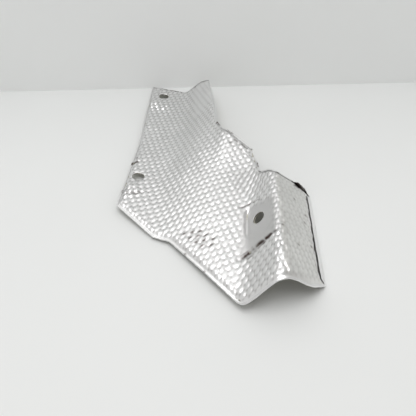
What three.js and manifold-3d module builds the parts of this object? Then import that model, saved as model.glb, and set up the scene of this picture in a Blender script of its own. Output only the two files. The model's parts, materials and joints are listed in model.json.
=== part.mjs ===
// Heat shield for an exhaust manifold: two thin embossed aluminium skins with a fibre mat
// between them, pressed as one into a folded form and closed by a hem all the way round.
// Millimetres, +Z up, the shield lying hollow side down as it rests on a bench.
// Origin: below the middle of the shield's box, on the surface it rests on.

import * as THREE from 'three';
import { mergeVertices } from 'three/addons/utils/BufferGeometryUtils.js';
import Module from 'manifold-3d';

const wasm = await Module();
wasm.setup();

const origin = new THREE.Vector2();

// ---- driving dimensions ------------------------------------------------------------------

const SKIN = 0.4; // aluminium sheet
const GAP = 0.3; // free play between neighbouring layers
const MAT = 0.8; // fibre mat
const HEM_RIM = 0.8; // the folded edge of the lower skin, seen from above
const HEM_LIP = 5; // how far that edge reaches back over the upper skin
const MAT_INSET = 6.5; // the mat stops short of the hem
const RELIEF_WIDTH = 1.4; // slits in the lip where the outline turns
const BOLT_HOLE_R = 5.4; // clearance for an M8 stud, with room for heat growth
const MAT_HOLE_R = 9; // the mat is cut back round each bolt
const SEAT_BLEND = 6; // width over which a bolt's flat seat fades into the pressing
const FOLD_TURN = THREE.MathUtils.degToRad(68); // most folds run this way, from +X towards +Y
const FACET_ACROSS = 5.5; // facet size of the pressing, across the folds
const FACET_ALONG = 15; // and along them
const ARC_STEP = Math.PI / 9; // facet angle on rounded outline corners
const HOLE_SIDES = 24;
const PUNCH_LENGTH = 30;
const SLIT_LENGTH = 20; // from outside the corner to past the lip
const TIGHT_BEND = 5; // how close two facets come before the bend between them starts
const BEND = 6.5;
const SOFT_BEND = 9;
const SLOPE_STEP = 0.05; // half the distance over which a slope is measured

// Layer heights above the form's own surface, measured square to the sheet.
const INNER = { low: 0, high: SKIN };
const CORE = { low: INNER.high + GAP, high: INNER.high + GAP + MAT };
const OUTER = { low: CORE.high + GAP, high: CORE.high + GAP + SKIN };
const LIP = { low: OUTER.high + GAP, high: OUTER.high + GAP + SKIN };

// Corners of the outline in plan, anticlockwise, each with the radius that rounds it.
// A corner with a relief has a slit in the hem's lip.
const OUTLINE = [
  { x: -5, y: 206, r: 4, relief: true },
  { x: -49.5, y: 93, r: 60 },
  { x: -89, y: 10, r: 5, relief: true },
  { x: -69.5, y: -34, r: 5, relief: true },
  { x: -59, y: -44, r: 6 },
  { x: -31, y: -122.5, r: 8, relief: true },
  { x: 18, y: -128.5, r: 25 },
  { x: 34, y: -123, r: 5, relief: true },
  { x: 73, y: -30, r: 4, relief: true },
  { x: 58, y: -22.5, r: 8 },
  { x: 42.5, y: -22, r: 6, relief: true },
  { x: 35, y: -7, r: 5, relief: true },
  { x: 43.5, y: 27, r: 10, relief: true },
  { x: 36, y: 43, r: 8 },
  { x: 26.5, y: 62, r: 5, relief: true },
  { x: 27, y: 74, r: 6 },
  { x: 37.5, y: 110, r: 8, relief: true },
  { x: 51.5, y: 166, r: 3, relief: true },
  { x: 35, y: 185, r: 12 },
  { x: 25, y: 189, r: 12 },
];

// The bolt holes, each in the middle of a flat seat: two round ones on the low panel, and a
// long one on the ridge's flank, turned in line with the ridge.
const BOLTS = [
  { x: 1, y: 179, seatR: 10, seatHalf: 0 },
  { x: -62, y: 42, seatR: 10, seatHalf: 0 },
  { x: 11, y: -58.5, seatR: 7.5, seatHalf: 9 },
];

// ---- the pressed form --------------------------------------------------------------------

// The form is a set of flat facets, folded into each other with round bends.
const facet = (x0, y0, z0, slopeX, slopeY) => (x, y) => z0 + slopeX * (x - x0) + slopeY * (y - y0);

const lowPanel = facet(-64, -36, 0.8, -0.102, 0.042);
const flankFar = facet(-20, 60, 5.25, 0.55, -0.35);
const flankMiddle = facet(-20, 60, 5.25, 0.55, -0.2);
const flankNear = facet(-40, -40, 7.5, 0.35, -0.02);
const plateau = facet(0, 0, 15, -0.04, 0.13);
const nearFloor = facet(-30, -90, 5.5, 0.06, 0.04);
const humpRise = facet(0, 30, 18, 0, 0.36);
const humpTop = facet(31, 92, 23.8, 0.1, 0.05);
const sideWall = facet(20, 118, 4.2, 1.18, -0.27);
const wallRim = facet(40, 115, 25, 0.05, -0.07);
const ridgeLeft = facet(14, -81, 29.5, 0.98, -0.4);
const ridgeRight = facet(52.5, -76, 0.6, -0.85, 0.355);
const ridgeNose = facet(0, -124, 27.5, 0, 0.3);

// A fold keeps the higher or the lower of two facets. The bend reaches as far as the facets
// lie less than its depth apart, and beyond that they stay flat.
const bendLift = (a, b, depth) => Math.max(depth - Math.abs(a - b), 0) ** 2 / (4 * depth);
const valley = (a, b, depth) => Math.max(a, b) + bendLift(a, b, depth);
const crest = (a, b, depth) => Math.min(a, b) - bendLift(a, b, depth);

function leftOfRidge(x, y) {
  const shelf = valley(plateau(x, y), nearFloor(x, y), TIGHT_BEND);
  const hump = crest(valley(shelf, humpRise(x, y), BEND), humpTop(x, y), TIGHT_BEND);
  const flankUpper = crest(flankFar(x, y), flankMiddle(x, y), BEND);
  const flank = crest(flankUpper, flankNear(x, y), BEND);
  const dome = crest(flank, hump, SOFT_BEND);
  const wallTop = crest(wallRim(x, y), humpRise(x, y), BEND);
  const wall = crest(sideWall(x, y), wallTop, BEND);
  const floor = valley(lowPanel(x, y), dome, SOFT_BEND);
  return valley(valley(floor, wall, BEND), ridgeLeft(x, y), SOFT_BEND);
}

// How fast a height changes along X and along Y.
function slopeOf(height, x, y) {
  const alongX = height(x + SLOPE_STEP, y) - height(x - SLOPE_STEP, y);
  const alongY = height(x, y + SLOPE_STEP) - height(x, y - SLOPE_STEP);
  return [alongX / (2 * SLOPE_STEP), alongY / (2 * SLOPE_STEP)];
}

const seats = BOLTS.map((bolt) => {
  const { x, y } = bolt;
  const [slopeX, slopeY] = slopeOf(leftOfRidge, x, y);
  return { ...bolt, slopeX, slopeY, plane: facet(x, y, leftOfRidge(x, y), slopeX, slopeY) };
});

// How far a point is outside a seat, which is a disc, or a slot with round ends.
function outsideSeat(seat, x, y) {
  const away = new THREE.Vector2(x - seat.x, y - seat.y);
  away.rotateAround(origin, -FOLD_TURN);
  away.x -= THREE.MathUtils.clamp(away.x, -seat.seatHalf, seat.seatHalf);
  return away.length() - seat.seatR;
}

function form(x, y) {
  let z = leftOfRidge(x, y);
  for (const seat of seats) {
    const fade = THREE.MathUtils.smoothstep(outsideSeat(seat, x, y) / SEAT_BLEND, 0, 1);
    z = THREE.MathUtils.lerp(seat.plane(x, y), z, fade);
  }
  return crest(crest(z, ridgeRight(x, y), SOFT_BEND), ridgeNose(x, y), BEND);
}

// ---- outline -----------------------------------------------------------------------------

const turnOf = (a, b, c) => (b.x - a.x) * (c.y - b.y) - (b.y - a.y) * (c.x - b.x);

// The same corners moved inwards by a distance, with radii that keep the arcs parallel.
function inset(corners, distance) {
  return corners.map((corner, i) => {
    const before = corners.at(i - 1);
    const after = corners[(i + 1) % corners.length];
    const into = new THREE.Vector2(corner.x - before.x, corner.y - before.y).normalize();
    const out = new THREE.Vector2(after.x - corner.x, after.y - corner.y).normalize();
    const inward = new THREE.Vector2(-into.y - out.y, into.x + out.x).normalize();
    const miter = distance / inward.dot(new THREE.Vector2(-into.y, into.x));
    const grow = turnOf(before, corner, after) > 0 ? -distance : distance;
    return {
      ...corner,
      x: corner.x + inward.x * miter,
      y: corner.y + inward.y * miter,
      r: Math.max(corner.r + grow, 0.5),
    };
  });
}

function roundedShape(corners) {
  const points = [];
  corners.forEach((corner, i) => {
    const at = new THREE.Vector2(corner.x, corner.y);
    const before = corners.at(i - 1);
    const after = corners[(i + 1) % corners.length];
    const back = new THREE.Vector2(before.x, before.y).sub(at).normalize();
    const ahead = new THREE.Vector2(after.x, after.y).sub(at).normalize();
    const half = Math.acos(THREE.MathUtils.clamp(back.dot(ahead), -1, 1)) / 2;
    const centre = back.clone().add(ahead).normalize();
    centre.multiplyScalar(corner.r / Math.sin(half)).add(at);
    const start = back.multiplyScalar(corner.r / Math.tan(half)).add(at).sub(centre);
    const turn = Math.sign(turnOf(before, corner, after)) * (Math.PI - 2 * half);
    const steps = Math.max(1, Math.ceil(Math.abs(turn) / ARC_STEP));
    for (let k = 0; k <= steps; k += 1) {
      const arm = start.clone().rotateAround(origin, (turn * k) / steps);
      points.push(arm.add(centre));
    }
  });
  return new THREE.Shape(points);
}

// ---- solids ------------------------------------------------------------------------------

function toSolid(geometry) {
  const bare = geometry.clone();
  bare.deleteAttribute('normal');
  bare.deleteAttribute('uv');
  const merged = mergeVertices(bare, 1e-4);
  return new wasm.Manifold(
    new wasm.Mesh({
      numProp: 3,
      vertProperties: new Float32Array(merged.attributes.position.array),
      triVerts: new Uint32Array(merged.index.array),
    }),
  );
}

function toGeometry(solid) {
  const mesh = solid.getMesh();
  const geometry = new THREE.BufferGeometry();
  geometry.setAttribute('position', new THREE.BufferAttribute(mesh.vertProperties, 3));
  geometry.setIndex(new THREE.BufferAttribute(mesh.triVerts, 1));
  return geometry;
}

const BLANK_TURN = FOLD_TURN - Math.PI / 2;
const unturned = OUTLINE.map(({ x, y }) => new THREE.Vector2(x, y).rotateAround(origin, -BLANK_TURN));
const reach = new THREE.Box2().setFromPoints(unturned);
const BLANK_MARGIN = 5;
const PRISM_HEIGHT = 200;

// A closed slab from a flat grid: its top, the same facets turned over below, and the sides.
function slab(grid) {
  const position = grid.attributes.position;
  const count = position.count;
  const top = [...grid.index.array];
  const faces = [...top];
  const directed = new Set();
  for (let i = 0; i < top.length; i += 3) {
    const [a, b, c] = top.slice(i, i + 3);
    faces.push(c + count, b + count, a + count);
    for (const edge of [[a, b], [b, c], [c, a]]) directed.add(edge.join());
  }
  for (const edge of directed) {
    const [a, b] = edge.split(',').map(Number);
    if (directed.has(`${b},${a}`)) continue;
    faces.push(b, a, a + count, b, a + count, b + count);
  }
  const closed = new THREE.BufferGeometry();
  const both = new Float32Array([...position.array, ...position.array]);
  closed.setAttribute('position', new THREE.BufferAttribute(both, 3));
  closed.setIndex(faces);
  return closed;
}

// A blank larger than the outline, its rows of facets in line with the folds, pressed to the
// form between two layer heights.
function pressedBlank(layer) {
  const size = reach.getSize(new THREE.Vector2()).addScalar(2 * BLANK_MARGIN);
  const middle = reach.getCenter(new THREE.Vector2());
  const columns = Math.round(size.x / FACET_ACROSS);
  const rows = Math.round(size.y / FACET_ALONG);
  const grid = new THREE.PlaneGeometry(size.x, size.y, columns, rows);
  grid.translate(middle.x, middle.y, 0);
  grid.rotateZ(BLANK_TURN);
  const blank = slab(grid);
  const position = blank.attributes.position;
  for (let i = 0; i < position.count; i += 1) {
    const x = position.getX(i);
    const y = position.getY(i);
    const level = i < position.count / 2 ? layer.high : layer.low;
    const stretch = Math.hypot(1, ...slopeOf(form, x, y));
    position.setZ(i, form(x, y) + level * stretch);
  }
  return toSolid(blank);
}

function prism(corners) {
  const extruded = new THREE.ExtrudeGeometry(roundedShape(corners), {
    depth: PRISM_HEIGHT,
    bevelEnabled: false,
  });
  extruded.translate(0, 0, -PRISM_HEIGHT / 2);
  return toSolid(extruded);
}

// Round punches through every seat, square to it.
function punches(radius) {
  return seats.map((seat) => {
    const punch = new THREE.CylinderGeometry(radius, radius, PUNCH_LENGTH, HOLE_SIDES);
    const normal = new THREE.Vector3(-seat.slopeX, -seat.slopeY, 1).normalize();
    const turn = new THREE.Quaternion().setFromUnitVectors(new THREE.Vector3(0, 1, 0), normal);
    punch.applyQuaternion(turn);
    punch.translate(seat.x, seat.y, form(seat.x, seat.y));
    return toSolid(punch);
  });
}

const pierce = (solid, radius) => punches(radius).reduce((left, punch) => left.subtract(punch), solid);

// Slits across the lip, along the line that halves each relieved corner.
function reliefSlits() {
  return OUTLINE.flatMap((corner, i) => {
    if (!corner.relief) return [];
    const inner = inset(OUTLINE, HEM_LIP)[i];
    const along = Math.atan2(inner.y - corner.y, inner.x - corner.x);
    const slit = new THREE.BoxGeometry(SLIT_LENGTH, RELIEF_WIDTH, PRISM_HEIGHT);
    slit.rotateZ(along);
    slit.translate((corner.x + inner.x) / 2, (corner.y + inner.y) / 2, 0);
    return [toSolid(slit)];
  });
}

function makeInnerSkin() {
  const outline = prism(OUTLINE);
  const withinRim = prism(inset(OUTLINE, HEM_RIM));
  const withinLip = prism(inset(OUTLINE, HEM_LIP));
  const sheet = pressedBlank(INNER).intersect(outline);
  const rim = pressedBlank({ low: INNER.low, high: LIP.high }).intersect(outline).subtract(withinRim);
  let lip = pressedBlank(LIP).intersect(outline).subtract(withinLip);
  for (const slit of reliefSlits()) lip = lip.subtract(slit.intersect(withinRim));
  return pierce(sheet.add(rim).add(lip), BOLT_HOLE_R);
}

function makeCore() {
  const mat = pressedBlank(CORE).intersect(prism(inset(OUTLINE, MAT_INSET)));
  return pierce(mat, MAT_HOLE_R);
}

function makeOuterSkin() {
  const skin = pressedBlank(OUTER).intersect(prism(inset(OUTLINE, HEM_RIM + GAP)));
  return pierce(skin, BOLT_HOLE_R);
}

// ---- assembly ----------------------------------------------------------------------------

const finishes = {
  inner: { color: 0xb9bbb8, roughness: 0.38, metalness: 0.95 },
  core: { color: 0xd9d3c3, roughness: 0.95, metalness: 0 },
  outer: { color: 0xd2d4d2, roughness: 0.3, metalness: 0.95 },
};

function part(name, solid, finish) {
  const mesh = new THREE.Mesh(toGeometry(solid), new THREE.MeshStandardMaterial(finish));
  mesh.name = name;
  return mesh;
}

const shield = new THREE.Group();
shield.add(part('inner_skin', makeInnerSkin(), finishes.inner));
shield.add(part('insulation_mat', makeCore(), finishes.core));
shield.add(part('outer_skin', makeOuterSkin(), finishes.outer));

const box = new THREE.Box3().setFromObject(shield);
const middle = box.getCenter(new THREE.Vector3());
shield.position.set(-middle.x, -middle.y, -box.min.z);

export default shield;
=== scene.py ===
"""Looks of the exhaust manifold heat shield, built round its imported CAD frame.

Both aluminium skins are remade as fine embossed sheet on the CAD's own form, the hem as a
rolled edge with a pressed lip, and the mat as felt. The form is computed in millimetres,
in the CAD source's plan coordinates, and shifted to the row frame as it is written out.
"""

import json
import math

import bpy
import numpy as np
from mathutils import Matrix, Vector
from mathutils.geometry import delaunay_2d_cdt


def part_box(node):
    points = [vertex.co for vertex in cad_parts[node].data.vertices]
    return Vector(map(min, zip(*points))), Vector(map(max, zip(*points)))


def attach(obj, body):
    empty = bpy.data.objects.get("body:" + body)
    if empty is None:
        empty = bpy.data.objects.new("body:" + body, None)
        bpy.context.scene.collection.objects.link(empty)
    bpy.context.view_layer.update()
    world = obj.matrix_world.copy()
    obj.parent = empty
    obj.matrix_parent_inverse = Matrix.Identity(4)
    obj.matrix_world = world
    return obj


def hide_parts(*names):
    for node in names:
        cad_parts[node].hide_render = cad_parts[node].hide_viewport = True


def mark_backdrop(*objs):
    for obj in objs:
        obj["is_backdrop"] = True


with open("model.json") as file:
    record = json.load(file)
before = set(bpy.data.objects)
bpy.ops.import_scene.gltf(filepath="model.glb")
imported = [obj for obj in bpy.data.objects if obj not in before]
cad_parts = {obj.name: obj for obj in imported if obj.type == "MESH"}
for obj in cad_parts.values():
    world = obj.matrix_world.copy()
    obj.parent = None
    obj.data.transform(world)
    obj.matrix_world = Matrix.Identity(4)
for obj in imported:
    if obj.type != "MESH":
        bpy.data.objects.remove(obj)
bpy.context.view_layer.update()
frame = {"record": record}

# ---- the CAD's dimensions, repeated ------------------------------------------------------

SKIN, GAP, MAT = 0.4, 0.3, 0.8
HEM_RIM, MAT_INSET = 0.8, 6.5
BOLT_HOLE_R, MAT_HOLE_R, SEAT_BLEND = 5.4, 9.0, 6.0
FOLD_TURN = math.radians(68)
TIGHT_BEND, BEND, SOFT_BEND = 5.0, 6.5, 9.0
INNER_LOW, INNER_HIGH = 0.0, SKIN
CORE_LOW = INNER_HIGH + GAP
CORE_HIGH = CORE_LOW + MAT
OUTER_LOW = CORE_HIGH + GAP
OUTER_HIGH = OUTER_LOW + SKIN
LIP_LOW = OUTER_HIGH + GAP
LIP_HIGH = LIP_LOW + SKIN

OUTLINE = [  # x, y, corner radius, and 1 where the hem has a relief notch
    (-5, 206, 4, 1), (-49.5, 93, 60, 0), (-89, 10, 5, 1), (-69.5, -34, 5, 1), (-59, -44, 6, 0),
    (-31, -122.5, 8, 1), (18, -128.5, 25, 0), (34, -123, 5, 1), (73, -30, 4, 1), (58, -22.5, 8, 0),
    (42.5, -22, 6, 1), (35, -7, 5, 1), (43.5, 27, 10, 1), (36, 43, 8, 0), (26.5, 62, 5, 1),
    (27, 74, 6, 0), (37.5, 110, 8, 1), (51.5, 166, 3, 1), (35, 185, 12, 0), (25, 189, 12, 0),
]
BOLTS = [  # x, y, flat radius, half length of the seat along the fold
    (1, 179, 10, 0), (-62, 42, 10, 0), (11, -58.5, 7.5, 9),
]


def facet(x0, y0, z0, slope_x, slope_y):
    return lambda x, y: z0 + slope_x * (x - x0) + slope_y * (y - y0)


low_panel = facet(-64, -36, 0.8, -0.102, 0.042)
flank_far = facet(-20, 60, 5.25, 0.55, -0.35)
flank_middle = facet(-20, 60, 5.25, 0.55, -0.2)
flank_near = facet(-40, -40, 7.5, 0.35, -0.02)
plateau = facet(0, 0, 15, -0.04, 0.13)
near_floor = facet(-30, -90, 5.5, 0.06, 0.04)
hump_rise = facet(0, 30, 18, 0, 0.36)
hump_top = facet(31, 92, 23.8, 0.1, 0.05)
side_wall = facet(20, 118, 4.2, 1.18, -0.27)
wall_rim = facet(40, 115, 25, 0.05, -0.07)
ridge_left = facet(14, -81, 29.5, 0.98, -0.4)
ridge_right = facet(52.5, -76, 0.6, -0.85, 0.355)
ridge_nose = facet(0, -124, 27.5, 0, 0.3)


def bend_lift(a, b, depth):
    return np.maximum(depth - np.abs(a - b), 0) ** 2 / (4 * depth)


def valley(a, b, depth):
    return np.maximum(a, b) + bend_lift(a, b, depth)


def crest(a, b, depth):
    return np.minimum(a, b) - bend_lift(a, b, depth)


def left_of_ridge(x, y):
    shelf = valley(plateau(x, y), near_floor(x, y), TIGHT_BEND)
    hump = crest(valley(shelf, hump_rise(x, y), BEND), hump_top(x, y), TIGHT_BEND)
    flank_upper = crest(flank_far(x, y), flank_middle(x, y), BEND)
    flank = crest(flank_upper, flank_near(x, y), BEND)
    dome = crest(flank, hump, SOFT_BEND)
    wall_top = crest(wall_rim(x, y), hump_rise(x, y), BEND)
    wall = crest(side_wall(x, y), wall_top, BEND)
    floor = valley(low_panel(x, y), dome, SOFT_BEND)
    return valley(valley(floor, wall, BEND), ridge_left(x, y), SOFT_BEND)


def slope_of(height, x, y, h=0.05):
    return (
        (height(x + h, y) - height(x - h, y)) / (2 * h),
        (height(x, y + h) - height(x, y - h)) / (2 * h),
    )


def smoothstep(t):
    t = np.clip(t, 0, 1)
    return t * t * (3 - 2 * t)


class Seat:
    """A bolt's flat seat, in the plane of the sheet at its hole."""

    def __init__(self, x, y, radius, half):
        self.x, self.y, self.radius, self.half = x, y, radius, half
        sx, sy = slope_of(left_of_ridge, x, y)
        self.z = left_of_ridge(x, y)
        self.plane = facet(x, y, self.z, sx, sy)
        self.stretch = math.sqrt(1 + sx * sx + sy * sy)
        self.normal = np.array([-sx, -sy, 1]) / self.stretch
        self.across = np.cross([0, 1, 0], self.normal)
        self.across /= np.linalg.norm(self.across)
        self.along = np.cross(self.normal, self.across)

    def outside(self, x, y):
        c, s = math.cos(-FOLD_TURN), math.sin(-FOLD_TURN)
        u = c * (x - self.x) - s * (y - self.y)
        v = s * (x - self.x) + c * (y - self.y)
        u = u - np.clip(u, -self.half, self.half)
        return np.hypot(u, v) - self.radius

    def loop(self, radius, level, count):
        """Plan points of a round hole punched square to the seat, at a layer's level."""
        t = np.linspace(0, 2 * np.pi, count, endpoint=False)[:, None]
        ring = radius * (np.cos(t) * self.across + np.sin(t) * self.along)
        return (np.array([self.x, self.y, 0]) + self.normal * level + ring)[:, :2]


SEATS = [Seat(*bolt) for bolt in BOLTS]


def form(x, y):
    z = left_of_ridge(x, y)
    for seat in SEATS:
        fade = smoothstep(seat.outside(x, y) / SEAT_BLEND)
        z = seat.plane(x, y) * (1 - fade) + z * fade
    return crest(crest(z, ridge_right(x, y), SOFT_BEND), ridge_nose(x, y), BEND)


# ---- outline -----------------------------------------------------------------------------


def unit(v):
    return v / np.linalg.norm(v)


def turn_of(a, b, c):
    return (b[0] - a[0]) * (c[1] - b[1]) - (b[1] - a[1]) * (c[0] - b[0])


def inset_corners(distance):
    corners = []
    for i, (x, y, r, _) in enumerate(OUTLINE):
        here = np.array([x, y], float)
        before = np.array(OUTLINE[i - 1][:2], float)
        after = np.array(OUTLINE[(i + 1) % len(OUTLINE)][:2], float)
        into, out = unit(here - before), unit(after - here)
        inward = unit(np.array([-into[1] - out[1], into[0] + out[0]]))
        miter = distance / inward.dot([-into[1], into[0]])
        grow = -distance if turn_of(before, here, after) > 0 else distance
        corners.append((here + inward * miter, max(r + grow, 0.5)))
    return corners


def arcs(distance):
    """Centre, start arm and turn of each corner's arc."""
    corners = inset_corners(distance)
    found = []
    for i, (here, r) in enumerate(corners):
        before, after = corners[i - 1][0], corners[(i + 1) % len(corners)][0]
        back, ahead = unit(before - here), unit(after - here)
        half = math.acos(np.clip(back.dot(ahead), -1, 1)) / 2
        centre = here + unit(back + ahead) * r / math.sin(half)
        start = here + back * r / math.tan(half) - centre
        turn = math.copysign(math.pi - 2 * half, turn_of(before, here, after))
        found.append((centre, start, turn))
    return found


RING_STEP = 0.9


def turned(v, angle):
    c, s = math.cos(angle), math.sin(angle)
    return np.array([c * v[0] - s * v[1], s * v[0] + c * v[1]])


def ring_counts():
    """How many steps each arc and each straight side takes: the same at every inset."""
    base = arcs(0)
    counts = []
    for i, (centre, start, turn) in enumerate(base):
        bow = max(2, math.ceil(abs(turn) * np.linalg.norm(start) / RING_STEP))
        end = centre + turned(start, turn)
        following = base[(i + 1) % len(base)]
        side = np.linalg.norm(following[0] + following[1] - end)
        counts.append((bow, max(1, math.ceil(side / RING_STEP))))
    return counts


COUNTS = ring_counts()


def ring(distance):
    points = []
    found = arcs(distance)
    for i, (centre, start, turn) in enumerate(found):
        bow, side = COUNTS[i]
        for k in range(bow):
            points.append(centre + turned(start, turn * k / bow))
        end = centre + turned(start, turn)
        following = found[(i + 1) % len(found)]
        target = following[0] + following[1]
        for k in range(side):
            points.append(end + (target - end) * k / side)
    return np.array(points)


# ---- where a point is on the sheet --------------------------------------------------------

EDGE = ring(0)


def loop_distance(points, polygon):
    """How far each point is from the closed loop."""
    a = polygon
    d = np.roll(polygon, -1, axis=0) - a
    square = (d * d).sum(1) + 1e-12
    found = []
    for some in np.array_split(points, max(1, len(points) // 2000)):
        away = some[:, None] - a
        t = np.clip((away * d).sum(2) / square, 0, 1)
        found.append(np.sqrt(((away - t[:, :, None] * d) ** 2).sum(2).min(1)))
    return np.concatenate(found)


def inside(points, polygon):
    x, y = points[:, 0], points[:, 1]
    found = np.zeros(len(points), bool)
    for a, b in zip(polygon, np.roll(polygon, -1, axis=0)):
        crosses = (a[1] > y) != (b[1] > y)
        found ^= crosses & (x < (b[0] - a[0]) * (y - a[1]) / (b[1] - a[1] + 1e-12) + a[0])
    return found


class Field:
    """Values on a regular plan grid, read between its points."""

    def __init__(self, xs, ys, values):
        self.xs, self.ys, self.values = xs, ys, values

    def __call__(self, x, y):
        step = self.xs[1] - self.xs[0]
        fx = np.clip((x - self.xs[0]) / step, 0, len(self.xs) - 1.001)
        fy = np.clip((y - self.ys[0]) / step, 0, len(self.ys) - 1.001)
        i, j = fx.astype(int), fy.astype(int)
        s, t = fx - i, fy - j
        if self.values.ndim == 3:
            s, t = s[:, None], t[:, None]
        v = self.values
        low = v[j, i] * (1 - s) + v[j, i + 1] * s
        high = v[j + 1, i] * (1 - s) + v[j + 1, i + 1] * s
        return low * (1 - t) + high * t


def edge_field():
    xs, ys = np.arange(-96, 82, 1.25), np.arange(-136, 216, 1.25)
    gx, gy = np.meshgrid(xs, ys)
    points = np.stack([gx.ravel(), gy.ravel()], axis=1)
    far = loop_distance(points, EDGE)
    far[~inside(points, EDGE)] *= -1
    return Field(xs, ys, far.reshape(gx.shape))


from_edge = edge_field()  # how far a plan point is inside the outline


def random_field(step, seed):
    xs, ys = np.arange(-110, 100, step), np.arange(-150, 230, step)
    values = np.random.default_rng(seed).uniform(-1, 1, (len(ys), len(xs)))
    return Field(xs, ys, values)


WAVES = [(random_field(26, 3), 0.3), (random_field(11, 5), 0.1)]
CRINKLE = random_field(3.1, 8)

BULGES = [  # x, y, radius, height
    (-14, 166, 9, 1.6), (-73, 31, 8, 1.3), (-46, 100, 14, -0.7), (-30, 125, 12, 0.5),
]


def uneven(x, y):
    """Slow hand-sized unevenness of the pressed sheet, none of it at the edge."""
    calm = smoothstep((from_edge(x, y) - 2) / 8)
    for seat in SEATS:
        calm = calm * smoothstep((seat.outside(x, y) + 2) / 6)
    waves = sum(field(x, y) * size for field, size in WAVES)
    bulges = sum(h * np.exp(-(np.hypot(x - cx, y - cy) / r) ** 2) for cx, cy, r, h in BULGES)
    return calm * (waves + bulges)


LIP_REACH = 1.8  # how far the pressed lip comes in over the outer skin
PINCH = 0.44  # the hem presses the layers together to this share of their depth


def pressed(level, x, y):
    """A layer's level, pinched by the hem and drawn up towards the top skin at the bolts."""
    share = PINCH + (1 - PINCH) * smoothstep((from_edge(x, y) - LIP_REACH) / 4)
    level = level * share
    for seat in SEATS:
        near = 1 - smoothstep((np.hypot(x - seat.x, y - seat.y) - BOLT_HOLE_R - 0.3) / 3)
        level = level + (OUTER_HIGH * share - level) * 0.5 * near
    return level


# ---- placing the form in the row frame ----------------------------------------------------

low_corner = np.array(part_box("inner_skin")[0]) * 1000
high_corner = np.array(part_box("inner_skin")[1]) * 1000
mount = frame["record"]["mounts"][0]
far_seat = SEATS[0]
seat_point = np.array([far_seat.x, far_seat.y, far_seat.z]) + far_seat.normal * OUTER_HIGH
shift = np.append((low_corner + high_corner)[:2] / 2 - (EDGE.min(0) + EDGE.max(0)) / 2, 0)
shift[2] = (np.array(mount["pos_m"]) * 1000 - seat_point - shift).dot(far_seat.normal)
shift[2] /= far_seat.normal[2]


def lifted(points, level):
    """Plan points at a level above the form, in metres in the row frame."""
    x, y = points[:, 0], points[:, 1]
    sx, sy = slope_of(form, x, y)
    stretch = np.sqrt(1 + sx * sx + sy * sy)
    z = form(x, y) + (pressed(level, x, y) + uneven(x, y)) * stretch
    placed = np.stack([x, y, z], axis=1) + shift
    placed[:, 2] = np.clip(placed[:, 2], 0, high_corner[2])
    return placed / 1000


# ---- the flat sheet's own coordinates -----------------------------------------------------

UNROLL_STEP, UNROLL_ROUNDS = 6.0, 80


def unroll():
    """Flattens the form, keeping lengths, so that the embossing runs on it as on flat stock."""
    xs = np.arange(-100, 90, UNROLL_STEP)
    ys = np.arange(-142, 222, UNROLL_STEP)
    gx, gy = np.meshgrid(xs, ys)
    rows, cols = gx.shape
    flat = np.stack([gx.ravel(), gy.ravel()], axis=1)
    space = np.stack([gx.ravel(), gy.ravel(), form(gx, gy).ravel()], axis=1)
    index = np.arange(rows * cols).reshape(rows, cols)
    pairs = np.concatenate([
        np.stack([index[:, :-1].ravel(), index[:, 1:].ravel()], axis=1),
        np.stack([index[:-1].ravel(), index[1:].ravel()], axis=1),
        np.stack([index[:-1, :-1].ravel(), index[1:, 1:].ravel()], axis=1),
        np.stack([index[:-1, 1:].ravel(), index[1:, :-1].ravel()], axis=1),
    ])
    length = np.linalg.norm(space[pairs[:, 0]] - space[pairs[:, 1]], axis=1)
    n = len(flat)
    laplace = np.zeros((n, n))
    np.add.at(laplace, (pairs[:, 0], pairs[:, 0]), 1)
    np.add.at(laplace, (pairs[:, 1], pairs[:, 1]), 1)
    np.add.at(laplace, (pairs[:, 0], pairs[:, 1]), -1)
    np.add.at(laplace, (pairs[:, 1], pairs[:, 0]), -1)
    laplace += np.eye(n) * 1e-4
    solve = np.linalg.inv(laplace)
    uv = flat.copy()
    for _ in range(UNROLL_ROUNDS):
        away = uv[pairs[:, 0]] - uv[pairs[:, 1]]
        want = away * (length / np.linalg.norm(away, axis=1))[:, None]
        pull = np.zeros((n, 2))
        np.add.at(pull, pairs[:, 0], want)
        np.add.at(pull, pairs[:, 1], -want)
        uv = solve @ (pull + uv * 1e-4)
    # line the flat sheet's axes up with the part's at the middle of the dome
    near = np.argsort(np.hypot(flat[:, 0] - 5, flat[:, 1] - 10))[:60]
    a = uv[near] - uv[near].mean(0)
    b = flat[near] - flat[near].mean(0)
    angle = math.atan2((a[:, 0] * b[:, 1] - a[:, 1] * b[:, 0]).sum(), (a * b).sum())
    c, s = math.cos(angle), math.sin(angle)
    uv = uv @ np.array([[c, s], [-s, c]])
    return Field(xs, ys, uv.reshape(rows, cols, 2))


flat_coordinates = unroll()


# ---- embossing ---------------------------------------------------------------------------

PITCH = 5.5
PILLOW = 0.72  # height of a pillow over the grooves round it
FULLNESS = 0.52  # below 1 the pillows are broad and the grooves narrow
WOBBLE = 0.3  # how far the pattern strays from true
ALONG_WALL, ON_SLANT = 0.85, 0.5  # how much of a wave is lost where the sheet is drawn out
CELL_SEED = random_field(4.7, 21)
PLAIN = np.array([(-17, -86), (9.5, -85), (25, -50), (6, -36)], float)  # round the ridge's bolt


def plain_distance(x, y):
    """How far a point is outside the smooth patch on the ridge's flank."""
    far = np.full(np.shape(x), -1e9)
    for a, b in zip(PLAIN, np.roll(PLAIN, -1, axis=0)):
        out = unit(np.array([b[1] - a[1], a[0] - b[0]]))
        far = np.maximum(far, (x - a[0]) * out[0] + (y - a[1]) * out[1])
    return far


def drawn(x, y):
    """How far the pressing has drawn the pillows out: along the wall, and slantwise where
    the shelf drops to the ridge's foot."""
    wall = smoothstep((form(x, y) - low_panel(x, y) - 3) / 5) * smoothstep((y - 112) / 12)
    from_slant = np.hypot((x - 24) / 17, (y + 14) / 20)
    slant = 1 - smoothstep((from_slant - 0.6) / 0.6)
    return wall, slant


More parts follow.
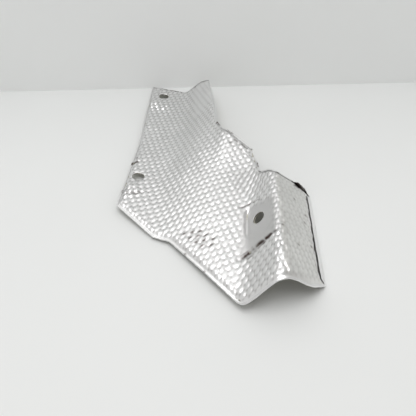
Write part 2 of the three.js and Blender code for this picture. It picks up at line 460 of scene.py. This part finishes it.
def emboss(x, y):
    """Height of the pressed pillows, from 0 in the grooves to 1 on top."""
    u, v = flat_coordinates(x, y).T
    a = 2 * np.pi * (u + WOBBLE * CRINKLE(x, y)) / PITCH
    b = 2 * np.pi * (v + WOBBLE * CRINKLE(y * 0.5 - 20, x * 0.5)) / PITCH
    wall, slant = drawn(x, y)
    wave_a = 1 - ON_SLANT * slant
    wave_b = 1 - ON_SLANT * slant - ALONG_WALL * wall
    wave_c = 1 - ALONG_WALL * wall
    whole = wave_a + wave_b + wave_c
    total = wave_a * np.cos(a) + wave_b * np.cos(b) + wave_c * np.cos(a - b)
    return np.clip((total + 0.5 * whole) / (1.5 * whole), 0, 1) ** FULLNESS


def flatness(x, y):
    """1 where the embossing is whole, 0 where the sheet is smooth."""
    patch = smoothstep((plain_distance(x, y) + 5) / 9)
    hem = smoothstep((from_edge(x, y) - LIP_REACH - 0.4) / 1.3)
    return patch * hem


# Creases: start, end, height in mm (below 0 sinks), half width, and how dark their painted shade
# and reddish dirt are.
CREASES = [
    ((3, -36.5), (12, -36.4), -0.5, 0.9, 0.6), ((12, -36.4), (18.5, -39.5), -0.5, 0.9, 0.5),
    ((-17, -85.3), (-8.4, -83.6), -0.8, 1.8, 1.1), ((-8.4, -83.6), (-1.5, -82.8), -0.9, 2.1, 1.2),
    ((-1.5, -82.8), (3.5, -84.2), -0.9, 2, 1.1), ((3.5, -84.2), (9, -84.8), -0.8, 1.7, 1.2),
    ((-12, -88.5), (-5, -87.5), -0.4, 0.9, 0.7), ((12, -75), (14.7, -87), 0.45, 1.4, 0),
    ((14.7, -87), (11.5, -96.4), 0.45, 1.4, 0), ((-65.8, 62), (-57.6, 64), -0.9, 1.5, 1),
    ((-76.5, 20.2), (-66, 20.6), -0.6, 1, 0.85), ((-83, 26), (-76, 22.5), -0.5, 0.9, 0.8),
    ((57.5, -24.3), (70, -30.6), -0.3, 1.5, 2.2), ((31, 39), (37.5, 28), -0.4, 0.8, 0.5),
    ((31.5, 28.4), (36, 14), -0.4, 0.7, 0.35),
    ((25.8, 75), (26.5, 68), -0.6, 1.2, 0.9), ((29.8, 55), (32.2, 49.5), -0.6, 1.2, 0.9),
    ((38.6, 8.5), (37, 1), -0.7, 1.4, 1), ((4, 198.5), (25, 187.4), -0.3, 0.9, 0.55),
    ((-80, 27), (-72.7, 27.6), -0.5, 0.8, 0.7), ((-72, 18.3), (-63, 19.5), -0.5, 0.8, 0.8),
    ((-17, -82.7), (-5, -80.4), -0.3, 0.8, 0.6), ((-7, -86), (2, -86.6), -0.4, 0.9, 0.75),
]
DASHES = [  # three slanting rows of short dark marks on the low panel, painted shade of small slits where the pillows pinch
    (-46.3, -43.5), (-43.5, -49.8), (-40.6, -55.8), (-37.9, -61.7), (-40.1, -44.8),
    (-37.3, -50.9), (-34.6, -56.9), (-31.4, -63.9), (-34.3, -46.9), (-31.5, -52.9), (-28, -59),
]
SPECKS = [  # small dark spots
    (30.5, 40.5), (34.5, 33.2), (24.7, 38.4), (-69.5, 61), (-56, 70.5), (-60.5, 80), (-37, 128),
    (-41, 118), (-27, 152), (-19, 172), (-44, -84), (-51.5, -62), (17, -82), (24, -96),
    (46, -48), (50, -61), (38, -92), (44, -70),
]


# painted shade: how deep the grooves darken, and how dark the smooth patch is against the sheet
# round it
GROOVE_PAINTED_SHADE, PLAIN_TONE, PLAIN_LIFT = 0.46, 0.78, 0.22
DASH_LENGTH, DASH_WIDTH, DASH_DARK, SPECK_DARK = 2.1, 0.95, 0.96, 0.8
DASH_COS, DASH_SIN = 0.97, 0.245  # the dashes slant by 14 degrees


def along_crease(x, y, start, end):
    a, b = np.array(start, float), np.array(end, float)
    d = b - a
    t = np.clip(((x - a[0]) * d[0] + (y - a[1]) * d[1]) / d.dot(d), 0, 1)
    return np.hypot(x - a[0] - d[0] * t, y - a[1] - d[1] * t)


def creased(x, y):
    return sum(
        depth * np.exp(-((along_crease(x, y, a, b) / half) ** 2))
        for a, b, depth, half, _ in CREASES
    )


# Places where the foil is crumpled and its relief stands out: x, y, radius.
CRUMPLED = [(-74, 23, 11), (-18, 160, 9), (-6, 153, 9), (15, -90, 9), (10, -102, 8)]


def crumple(x, y):
    return sum(np.exp(-(np.hypot(x - cx, y - cy) / r) ** 2) for cx, cy, r in CRUMPLED)


def flap_share(x, y):
    """1 on the ridge's outer flap, where the pillows are pressed nearly flat."""
    return smoothstep((ridge_left(x, y) - ridge_right(x, y) + 1) / 5)


def relief(x, y):
    """The pressed relief above a skin's own level. The hem and the ridge's seat are flat."""
    wall, _ = drawn(x, y)
    size = PILLOW * (1 + 0.25 * CELL_SEED(x, y)) * (1 + 0.35 * smoothstep((y - 70) / 50))
    size = size * (1 - 0.55 * flap_share(x, y)) * (1 - 0.85 * wall) * (1 + 0.9 * crumple(x, y))
    rough = 0.09 * (1 + 1.5 * flap_share(x, y))
    grain = rough * CRINKLE(x * 1.7 + 9, y * 1.7) + 0.35 * crumple(x, y) * (1 + CRINKLE(x, y))
    return (emboss(x, y) * size - 0.12 + grain) * flatness(x, y)


def tone(x, y):
    """How bright the sheet's colour is: painted shade in the grooves, on the smooth patch and in
    the slit marks, painted shade and reddish dirt along the creases, and small dark spots.
    """
    wall, _ = drawn(x, y)
    # painted shade in the grooves between the pillows
    painted_darkening = GROOVE_PAINTED_SHADE * (1 - 0.5 * flap_share(x, y)) * (1 - 0.75 * wall) * flatness(x, y)
    groove = 1 - painted_darkening * (1 - smoothstep(emboss(x, y) / 0.55))
    # painted shade darkens the smooth patch round the ridge's bolt
    groove = groove * (PLAIN_TONE + PLAIN_LIFT * smoothstep((plain_distance(x, y) + 2) / 6))
    # painted shade and reddish dirt along the creases
    for a, b, _, half, dark in CREASES:
        ragged = 0.55 + 1.1 * CRINKLE(x * 2.3 + 5, y * 2.3)
        mark = np.exp(-((along_crease(x, y, a, b) / (half * 0.8)) ** 2)) * dark
        groove = groove * (1 - np.clip(mark * (0.35 + ragged), 0, 0.94))
    # painted shade of the small slits
    for px, py in DASHES:
        dx, dy = x - px, y - py
        length = (dx * DASH_COS + dy * DASH_SIN) / DASH_LENGTH
        width = (dy * DASH_COS - dx * DASH_SIN) / DASH_WIDTH
        groove = groove * (1 - DASH_DARK * np.exp(-(length**2) - width**2))
    for px, py in SPECKS:
        groove = groove * (1 - SPECK_DARK * np.exp(-((x - px) ** 2 + (y - py) ** 2)))
    return groove


# ---- mesh building ------------------------------------------------------------------------


HOLE_COUNT = 48  # points round a bolt hole
ROW = 0.866  # spacing of a triangular grid's rows
CLEAR = 0.6  # share of the spacing that the grid keeps from a loop


def hole_loops(radius, level):
    return [seat.loop(radius, level, HOLE_COUNT) for seat in SEATS]


def sheet(outer, inset, holes, radius, spacing):
    """Plan triangles inside the outer loop and outside the holes. The loops' points come first."""
    lo, hi = outer.min(0), outer.max(0)
    gx, gy = np.meshgrid(
        np.arange(lo[0], hi[0], spacing), np.arange(lo[1], hi[1], spacing * ROW)
    )
    gx = gx + (np.arange(gx.shape[0]) % 2)[:, None] * spacing / 2
    grid = np.stack([gx.ravel(), gy.ravel()], axis=1)
    grid = grid[from_edge(grid[:, 0], grid[:, 1]) > inset + spacing * CLEAR]
    for hole in holes:
        middle = hole.mean(0)
        away = np.hypot(*(grid - middle).T)
        close = np.flatnonzero(away < radius + spacing)
        some = grid[close]
        bad = inside(some, hole) | (loop_distance(some, hole) < spacing * CLEAR)
        grid = np.delete(grid, close[bad], axis=0)
    loops = [outer, *holes]
    points = np.concatenate([*loops, grid])
    edges = []
    first = 0
    for loop in loops:
        n = len(loop)
        edges += [(first + k, first + (k + 1) % n) for k in range(n)]
        first += n
    made = delaunay_2d_cdt([Vector(p) for p in points], edges, [], 1, 1e-6)
    if len(made[0]) != len(points):
        raise RuntimeError("the sheet's outline crosses itself")
    order = np.array([ids[0] for ids in made[3]])
    faces = order[np.array(made[2])]
    centres = points[faces].mean(1)
    keep = np.ones(len(faces), bool)
    for hole in holes:
        close = np.flatnonzero(np.hypot(*(centres - hole.mean(0)).T) < radius)
        keep[close[inside(centres[close], hole)]] = False
    return points, faces[keep], [len(loop) for loop in loops]


class Builder:
    """Collects the points of one closed mesh, their tone (with painted shade) and their stain and
    painted shade, and its faces.
    """

    def __init__(self):
        self.points, self.faces, self.size = [], [], 0
        self.looks = {"tone": [], "stain_and_shade": []}

    def add(self, points, tone_here, stain_and_shade_here=0.0):
        self.points.append(points)
        self.looks["tone"].append(np.broadcast_to(tone_here, len(points)))
        self.looks["stain_and_shade"].append(np.broadcast_to(stain_and_shade_here, len(points)))
        first = self.size
        self.size += len(points)
        return first

    def patch(self, faces, first, flip):
        self.faces += ((faces[:, ::-1] if flip else faces) + first).tolist()

    def strip(self, a, b, count):
        """Quads from the loop that starts at a to the loop that starts at b."""
        for k in range(count):
            m = (k + 1) % count
            self.faces.append((a + k, a + m, b + m, b + k))

    def object(self, name, material):
        mesh = bpy.data.meshes.new(name)
        mesh.from_pydata(np.concatenate(self.points).tolist(), [], self.faces)
        mesh.materials.append(material)
        for look, values in self.looks.items():
            layer = mesh.attributes.new(look, "FLOAT", "POINT")
            layer.data.foreach_set("value", np.concatenate(values).astype(np.float32))
        mesh.polygons.foreach_set("use_smooth", [True] * len(mesh.polygons))
        made = bpy.data.objects.new(name, mesh)
        bpy.context.scene.collection.objects.link(made)
        return made


FINE, COARSE, MAT_SPACING = 0.78, 3.0, 1.5
HIDDEN_SINK, MAT_SINK = 0.12, 0.1  # keep the coarse hidden faces clear of the fine outer one
HEAT_STAIN_AND_SHADE = 0.75  # how far the sides turned to the manifold are browned: heat stain, with painted shade that darkens the underside


def face_of(builder, inset, level, spacing, relief_scale, flip, stain_and_shade=0.0):
    """One side of a layer: its plan triangles lifted to the level, with the embossing on it.
    Returns where its loops start."""
    holes = hole_loops(BOLT_HOLE_R, level)
    points, faces, counts = sheet(ring(inset), inset, holes, BOLT_HOLE_R, spacing)
    x, y = points[:, 0], points[:, 1]
    height = relief(x, y) * relief_scale + creased(x, y) * min(relief_scale, 0.35)
    stain_and_shade_here = stain_and_shade if flip else np.maximum(stain_and_shade, 0.16 * flap_share(x, y))
    first = builder.add(lifted(points, level + height), tone(x, y), stain_and_shade_here)
    builder.patch(faces, first, flip)
    starts = [first]
    for count in counts[:-1]:
        starts.append(starts[-1] + count)
    return starts, counts


def close_holes(builder, top, under, counts):
    for a, c, n in zip(top[1:], under[1:], counts[1:]):
        builder.strip(a, c, n)


def make_outer(material):
    b = Builder()
    rim = HEM_RIM + GAP
    top, counts = face_of(b, rim, OUTER_HIGH, FINE, 1, False)
    under, _ = face_of(b, rim, OUTER_LOW - HIDDEN_SINK, COARSE, 0, True, HEAT_STAIN_AND_SHADE)
    b.strip(under[0], top[0], counts[0])
    close_holes(b, top, under, counts)
    return b.object("outer_sheet", material)


# ---- hem ---------------------------------------------------------------------------------

FLAP_SIDE, TAB_SIDE = 7, 8  # the outline's side along the ridge's flap, and the short one beside it
FLAP_REACH, TAB_REACH, NOTCH_REACH = 4.3, 2.3, 1.1
FLAP_GAPE, TAB_GAPE, SIDE_GAPE = 0.42, 3.6, 0.05  # how far the lip stands open
RIM_STEPS = 9


def hem_shape():
    """For each point of the ring: how far the lip reaches back, and how far it stands open."""
    reach, gape = [], []
    wander = np.random.default_rng(13)
    for i, (_, _, _, notched) in enumerate(OUTLINE):
        bow, side = COUNTS[i]
        middle = bow / 2
        flap, tab = i == FLAP_SIDE, i == TAB_SIDE
        for k in range(bow):
            notch = notched and abs(k - middle) < 1.3
            reach.append(NOTCH_REACH if notch else LIP_REACH)
            gape.append(0.0)
        for _ in range(side):
            reach.append(FLAP_REACH if flap else TAB_REACH if tab else LIP_REACH)
            gape.append(TAB_GAPE if tab else FLAP_GAPE if flap else SIDE_GAPE)
    reach = np.array(reach) + wander.uniform(-0.15, 0.15, len(reach))
    marks = np.arange(0, len(reach) + 9, 9)
    slow = np.interp(np.arange(len(reach)), marks, wander.uniform(-0.35, 0.35, len(marks)))
    fast = np.interp(np.arange(len(reach)), marks / 2, wander.uniform(-1, 1, len(marks)))
    gape = np.array(gape)
    kernel = np.ones(5) / 5
    gape = np.convolve(np.concatenate([gape[-2:], gape, gape[:2]]), kernel, "valid")
    return reach + slow * (reach > 2), gape * np.clip(0.75 + 1.3 * fast * (gape < 1), 0, 2.2)


REACH, GAPE = hem_shape()


def hem_ring(share, inset, depth):
    """A ring of the lip: share of its reach (0 at the rolled edge), and its depth in the stack."""
    near, far = ring(1.0), ring(6.0)
    distance = inset + (REACH - inset) * share
    points = near + (far - near) * ((distance - 1.0) / 5.0)[:, None]
    level = depth + GAPE / PINCH * smoothstep(share) * max(share, 0) ** 2
    return points, level


def make_inner(material):
    b = Builder()
    start = HEM_RIM + 0.9
    under, counts = face_of(b, start, INNER_LOW, FINE, 0.45, True, HEAT_STAIN_AND_SHADE)
    count = counts[0]
    previous = under[0]
    wavy = 0.12 * (1 + np.sin(np.arange(count) * 0.9) * np.sin(np.arange(count) * 0.23))
    middle, half = (INNER_LOW + LIP_HIGH) / 2, (LIP_HIGH - INNER_LOW) / 2
    # the rolled outside of the hem, from the underside up to the lip
    near, far = ring(0.05), ring(2.05)
    for k in range(1, RIM_STEPS):
        a = -np.pi / 2 + np.pi * k / RIM_STEPS
        distance = wavy + 0.75 * (1 - math.cos(a))
        points = near + (far - near) * (distance / 2)[:, None]
        rim_tone = tone(points[:, 0], points[:, 1])
        first = b.add(lifted(points, middle + half * math.sin(a)), rim_tone)
        b.strip(previous, first, count)
        previous = first
    curled = np.where(GAPE > 0.9, 0.95, 0.05)  # the lip's underside is painted dark as shade, except where a curled lip stands open and shows its bright inside
    # each ring: share of the reach, depth, and painted shade darkening the lip's turned edge and
    # underside
    for share, depth, shade in (
        (0.0, LIP_HIGH, 1), (0.3, LIP_HIGH, 1), (0.6, LIP_HIGH, 1), (0.9, LIP_HIGH - 0.05, 0.9),
        (1.0, LIP_HIGH - 0.25, 0.6), (1.0, LIP_LOW, np.maximum(curled, 0.3)),
        (0.8, LIP_LOW, curled), (0.5, LIP_LOW, curled), (0.3, LIP_LOW, 0.04), (0.1, LIP_LOW, 0.04),
    ):
        points, level = hem_ring(share, 1.3, depth)
        rim_tone = tone(points[:, 0], points[:, 1])
        first = b.add(lifted(points, level), shade * rim_tone)
        b.strip(previous, first, count)
        previous = first
    # the inside of the rim, back down to the inner skin's upper face, painted dark as shade
    for inset, level in (
        (HEM_RIM + 0.05, LIP_LOW - 0.2), (HEM_RIM, middle), (HEM_RIM + 0.05, INNER_HIGH + 0.2),
    ):
        first = b.add(lifted(ring(inset), level), 0.1)
        b.strip(previous, first, count)
        previous = first
    top, _ = face_of(b, start, INNER_HIGH, COARSE, 0, False, HEAT_STAIN_AND_SHADE)
    b.strip(previous, top[0], count)
    close_holes(b, top, under, counts)
    return b.object("inner_sheet", material)


def make_mat(material):
    """The felt: one sheet of triangles, cut away round the bolts, closed along every edge."""
    b = Builder()
    points, faces, _ = sheet(ring(MAT_INSET), MAT_INSET, [], 0, MAT_SPACING)
    centres = points[faces].mean(1)
    keep = np.ones(len(faces), bool)
    for seat in SEATS:
        keep &= seat.outside(centres[:, 0], centres[:, 1]) > MAT_HOLE_R - seat.radius
    faces = faces[keep]
    x, y = points.T
    wave = relief(x, y) * 0.3
    top = b.add(lifted(points, CORE_HIGH - MAT_SINK + wave), 1.0)
    under = b.add(lifted(points, CORE_LOW + wave * 0.5), 1.0)
    b.patch(faces, top, False)
    b.patch(faces, under, True)
    sides = {(f[k], f[(k + 1) % 3]) for f in faces.tolist() for k in range(3)}
    for p, q in sides:
        if (q, p) not in sides:
            b.faces.append((under + p, under + q, top + q, top + p))
    return b.object("felt_mat", material)


# ---- materials ----------------------------------------------------------------------------


PAINTED_SHADE_AND_DIRT = (0.055, 0.032, 0.026)  # dark colour mixed in by tone: painted shade in grooves, slits and hem gaps, with reddish dirt along the creases
BROWNED = (0.46, 0.44, 0.34)  # aluminium that the manifold has heated, darkened further as painted shade on the undersides; also the flap's slight tint
FELT_DARK, FELT_PALE = (0.2, 0.195, 0.15), (0.33, 0.32, 0.26)


def new_material(name):
    material = bpy.data.materials.new(name)
    material.use_nodes = True
    nodes = material.node_tree.nodes
    links = material.node_tree.links
    return material, nodes, links, nodes["Principled BSDF"]


def noise(nodes, links, where, scale, detail=4.0):
    made = nodes.new("ShaderNodeTexNoise")
    made.inputs["Scale"].default_value = scale
    made.inputs["Detail"].default_value = detail
    links.new(where.outputs["Object"], made.inputs["Vector"])
    return made


def ramp(nodes, links, source, stops):
    made = nodes.new("ShaderNodeValToRGB")
    made.color_ramp.elements[0].position = stops[0][0]
    made.color_ramp.elements[0].color = (*stops[0][1], 1)
    made.color_ramp.elements[1].position = stops[-1][0]
    made.color_ramp.elements[1].color = (*stops[-1][1], 1)
    for position, color in stops[1:-1]:
        made.color_ramp.elements.new(position).color = (*color, 1)
    links.new(source, made.inputs["Fac"])
    return made


def grey(v):
    return (v, v, v)


def aluminium(name, tint, rough_low, rough_high):
    material, nodes, links, shader = new_material(name)
    where = nodes.new("ShaderNodeTexCoord")
    cloud = noise(nodes, links, where, 38, 5)
    colour = ramp(nodes, links, cloud.outputs["Fac"], [(0.3, grey(tint * 0.93)), (0.7, grey(tint))])
    tone_read = nodes.new("ShaderNodeAttribute")
    tone_read.attribute_name = "tone"
    # mixes in the dark colour by tone: painted shade, and reddish dirt along the creases
    painted_darkening = nodes.new("ShaderNodeMix")
    painted_darkening.data_type = "RGBA"
    painted_darkening.inputs["A"].default_value = (*PAINTED_SHADE_AND_DIRT, 1)
    links.new(tone_read.outputs["Fac"], painted_darkening.inputs["Factor"])
    links.new(colour.outputs["Color"], painted_darkening.inputs["B"])
    # mixes in the browning: heat stain and painted shade on the undersides, and the flap's slight
    # tint
    stain_and_shade_read = nodes.new("ShaderNodeAttribute")
    stain_and_shade_read.attribute_name = "stain_and_shade"
    stained_and_shaded = nodes.new("ShaderNodeMix")
    stained_and_shaded.data_type = "RGBA"
    stained_and_shaded.inputs["B"].default_value = (*BROWNED, 1)
    links.new(stain_and_shade_read.outputs["Fac"], stained_and_shaded.inputs["Factor"])
    links.new(painted_darkening.outputs["Result"], stained_and_shaded.inputs["A"])
    links.new(stained_and_shaded.outputs["Result"], shader.inputs["Base Color"])
    shader.inputs["Metallic"].default_value = 1.0
    smear = noise(nodes, links, where, 90, 6)
    span = nodes.new("ShaderNodeMapRange")
    span.inputs["To Min"].default_value = rough_low
    span.inputs["To Max"].default_value = rough_high
    links.new(smear.outputs["Fac"], span.inputs["Value"])
    links.new(span.outputs["Result"], shader.inputs["Roughness"])
    grain = noise(nodes, links, where, 1400, 2)
    bump = nodes.new("ShaderNodeBump")
    bump.inputs["Strength"].default_value = 0.12
    bump.inputs["Distance"].default_value = 0.0002
    links.new(grain.outputs["Fac"], bump.inputs["Height"])
    links.new(bump.outputs["Normal"], shader.inputs["Normal"])
    return material


def felt(name):
    material, nodes, links, shader = new_material(name)
    where = nodes.new("ShaderNodeTexCoord")
    fibre = noise(nodes, links, where, 900, 8)
    colour = ramp(nodes, links, fibre.outputs["Fac"], [(0.3, FELT_DARK), (0.7, FELT_PALE)])
    links.new(colour.outputs["Color"], shader.inputs["Base Color"])
    shader.inputs["Roughness"].default_value = 0.95
    bump = nodes.new("ShaderNodeBump")
    bump.inputs["Strength"].default_value = 0.6
    bump.inputs["Distance"].default_value = 0.0003
    links.new(fibre.outputs["Fac"], bump.inputs["Height"])
    links.new(bump.outputs["Normal"], shader.inputs["Normal"])
    return material


bright = aluminium("embossed_aluminium", 0.87, 0.25, 0.37)
dull = aluminium("hem_aluminium", 0.86, 0.28, 0.4)
fibre = felt("needled_felt")

for make, material, name, node, slot in (
    (make_outer, bright, "outer", "outer_skin", "outer_sheet"),
    (make_inner, dull, "inner", "inner_skin", "inner_sheet"),
    (make_mat, fibre, "mat", "insulation_mat", "fibre_mat"),
):
    piece = make(material)
    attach(piece, "root")
    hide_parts(node)

# ---- stage, camera and light ---------------------------------------------------------------


def stage_material(name, value):
    material, nodes, links, shader = new_material(name)
    where = nodes.new("ShaderNodeTexCoord")
    cloud = noise(nodes, links, where, 6, 3)
    low = tuple(c * 0.985 for c in value)
    colour = ramp(nodes, links, cloud.outputs["Fac"], [(0.3, low), (0.7, value)])
    links.new(colour.outputs["Color"], shader.inputs["Base Color"])
    shader.inputs["Roughness"].default_value = 0.8
    shader.inputs["Specular IOR Level"].default_value = 0.25
    return material


def plane(name, corners, material):
    mesh = bpy.data.meshes.new(name)
    mesh.from_pydata(corners, [], [(0, 1, 2, 3)])
    mesh.materials.append(material)
    made = bpy.data.objects.new(name, mesh)
    bpy.context.scene.collection.objects.link(made)
    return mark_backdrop(made)


def one_sided(material):
    """Clear from behind, so that the wall and floor hide nothing from the back or below."""
    nodes, links = material.node_tree.nodes, material.node_tree.links
    clear = nodes.new("ShaderNodeBsdfTransparent")
    side = nodes.new("ShaderNodeNewGeometry")
    mix = nodes.new("ShaderNodeMixShader")
    links.new(side.outputs["Backfacing"], mix.inputs["Fac"])
    links.new(nodes["Principled BSDF"].outputs["BSDF"], mix.inputs[1])
    links.new(clear.outputs["BSDF"], mix.inputs[2])
    links.new(mix.outputs["Shader"], nodes["Material Output"].inputs["Surface"])
    return material


plane(
    "floor", [(-4, -4, 0), (4, -4, 0), (4, 4, 0), (-4, 4, 0)],
    one_sided(stage_material("floor_white", (0.80, 0.81, 0.805))),
)
wall_left, wall_right = Vector((-0.94, 0.469, 0)), Vector((1.06, -0.151, 0))
up = Vector((0, 0, 0.22))
plane(
    "wall", [wall_left, wall_right, wall_right + up, wall_left + up],
    one_sided(stage_material("wall_white", (0.9, 0.91, 0.905))),
)

camera_data = bpy.data.cameras.new("camera")
camera_data.sensor_width = 36
camera_data.lens = 41.54
camera = bpy.data.objects.new("camera", camera_data)
bpy.context.scene.collection.objects.link(camera)
camera.location = (-0.11222, -0.34012, 0.26754)
look = Vector((0.2581, 0.7092, -0.6561))
camera.rotation_euler = look.to_track_quat("-Z", "Y").to_euler()
bpy.context.scene.camera = camera

world = bpy.data.worlds.new("world")
bpy.context.scene.world = world
world.use_nodes = True
world.node_tree.nodes["Background"].inputs["Color"].default_value = (0.97, 0.965, 0.95, 1)

# the room is brighter past the wall than behind the camera
sky = world.node_tree
toward = sky.nodes.new("ShaderNodeTexCoord")
split = sky.nodes.new("ShaderNodeSeparateXYZ")
strength = sky.nodes.new("ShaderNodeMapRange")
for socket, value in (("From Min", -0.7), ("From Max", 0.5), ("To Min", 0.5), ("To Max", 0.75)):
    strength.inputs[socket].default_value = value
sky.links.new(toward.outputs["Generated"], split.inputs["Vector"])
sky.links.new(split.outputs["Y"], strength.inputs["Value"])
sky.links.new(strength.outputs["Result"], sky.nodes["Background"].inputs["Strength"])


def softbox(name, place, aim, width, height, power):
    data = bpy.data.lights.new(name, "AREA")
    data.shape = "RECTANGLE"
    data.size, data.size_y = width, height
    data.energy = power
    made = bpy.data.objects.new(name, data)
    bpy.context.scene.collection.objects.link(made)
    made.location = place
    made.rotation_euler = (Vector(aim) - Vector(place)).to_track_quat("-Z", "Y").to_euler()


softbox("overhead", (-0.12, -0.16, 1.1), (-0.06, -0.05, 0), 0.9, 0.9, 5.2)
softbox("back", (0.05, 0.62, 0.95), (0, 0, 0), 1.2, 0.7, 1.0)

view = bpy.context.scene.view_settings
view.view_transform = "Standard"
